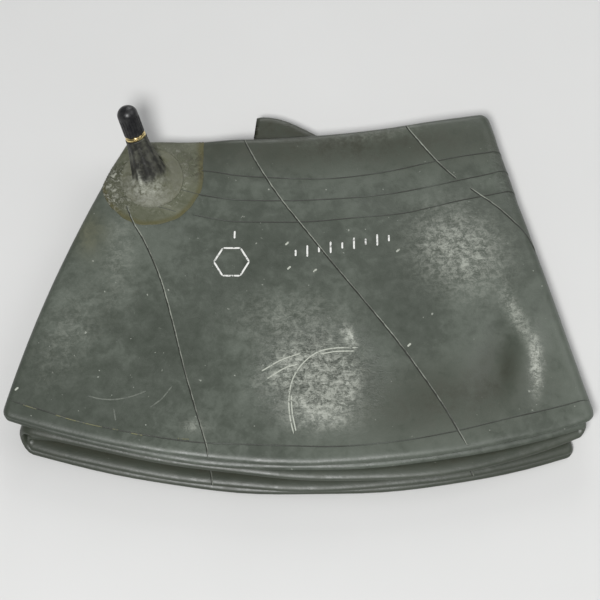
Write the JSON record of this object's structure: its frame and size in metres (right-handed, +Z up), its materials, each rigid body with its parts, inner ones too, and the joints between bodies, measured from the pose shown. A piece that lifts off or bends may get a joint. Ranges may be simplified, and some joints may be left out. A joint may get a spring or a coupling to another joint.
{
  "type": "inner tube",
  "caption": "Deflated rubber inner tube, folded flat into a fan-shaped stack, with a leaning rubber-covered valve, screw cap and spring core.",
  "frame": {"origin": "on the flat underside of the folded stack, below its middle, where it rests on a shelf", "axes": "+X along the fold, from the valve's end to the other; +Y from the tube's outer edge to its rim side; +Z up out of the stack"},
  "size_m": [0.2613, 0.1827, 0.0546],
  "materials": {
    "tube_rubber": "talc-dusted butyl rubber",
    "patch_rubber": "thin rubber dried in yellow-brown cement",
    "moulded_rubber": "matt moulded rubber",
    "stem_brass": "turned brass",
    "cap_plastic": "satin black moulding",
    "liner_rubber": "soft black rubber",
    "core_brass": "turned brass",
    "pin_brass": "drawn brass wire",
    "seal_rubber": "soft red rubber",
    "spring_steel": "bright spring wire"
  },
  "bodies": {
    "tube": {"tube_body": "tube_rubber", "valve_patch": "patch_rubber", "valve_rubber": "moulded_rubber", "valve_stem": "stem_brass"},
    "cap_lining": {"cap_liner": "liner_rubber"},
    "cap": {"dust_cap": "cap_plastic"},
    "core": {"core_barrel": "core_brass", "core_seal": "seal_rubber", "core_spring": "spring_steel"},
    "core_turner": {"core_plug": "core_brass"},
    "core_plunger": {"core_pin": "pin_brass", "core_cup": "core_brass", "core_washer": "seal_rubber"}
  },
  "joints": [
    {"name": "cap_lift", "type": "slide", "parent": "tube", "child": "cap_lining", "axis": [-0.2759, 0.519, 0.809], "range_m": [0, 0.00953]},
    {"name": "cap_turn", "type": "hinge", "parent": "cap_lining", "child": "cap", "pos_m": [-0.07678, 0.07307, 0.04607], "axis": [-0.2759, 0.519, 0.809], "range_deg": [0, 4320]},
    {"name": "core_lift", "type": "slide", "parent": "tube", "child": "core", "axis": [-0.2759, 0.519, 0.809], "range_m": [0, 0.00282]},
    {"name": "core_turn", "type": "hinge", "parent": "core", "child": "core_turner", "pos_m": [-0.07733, 0.07411, 0.04769], "axis": [-0.2759, 0.519, 0.809], "range_deg": [0, 1440]},
    {"name": "core_press", "type": "slide", "parent": "core", "child": "core_plunger", "axis": [0.2759, -0.519, -0.809], "range_m": [0, 0.0012], "stiffness_N_per_m": 1000, "springref_m": -0.001, "deforming": ["core_spring"]}
  ],
  "couplings": [
    {"joint": "cap_lift", "follows": "cap_turn", "m_per_rad": 0.00012633},
    {"joint": "core_lift", "follows": "core_turn", "m_per_rad": 0.00011229}
  ]
}
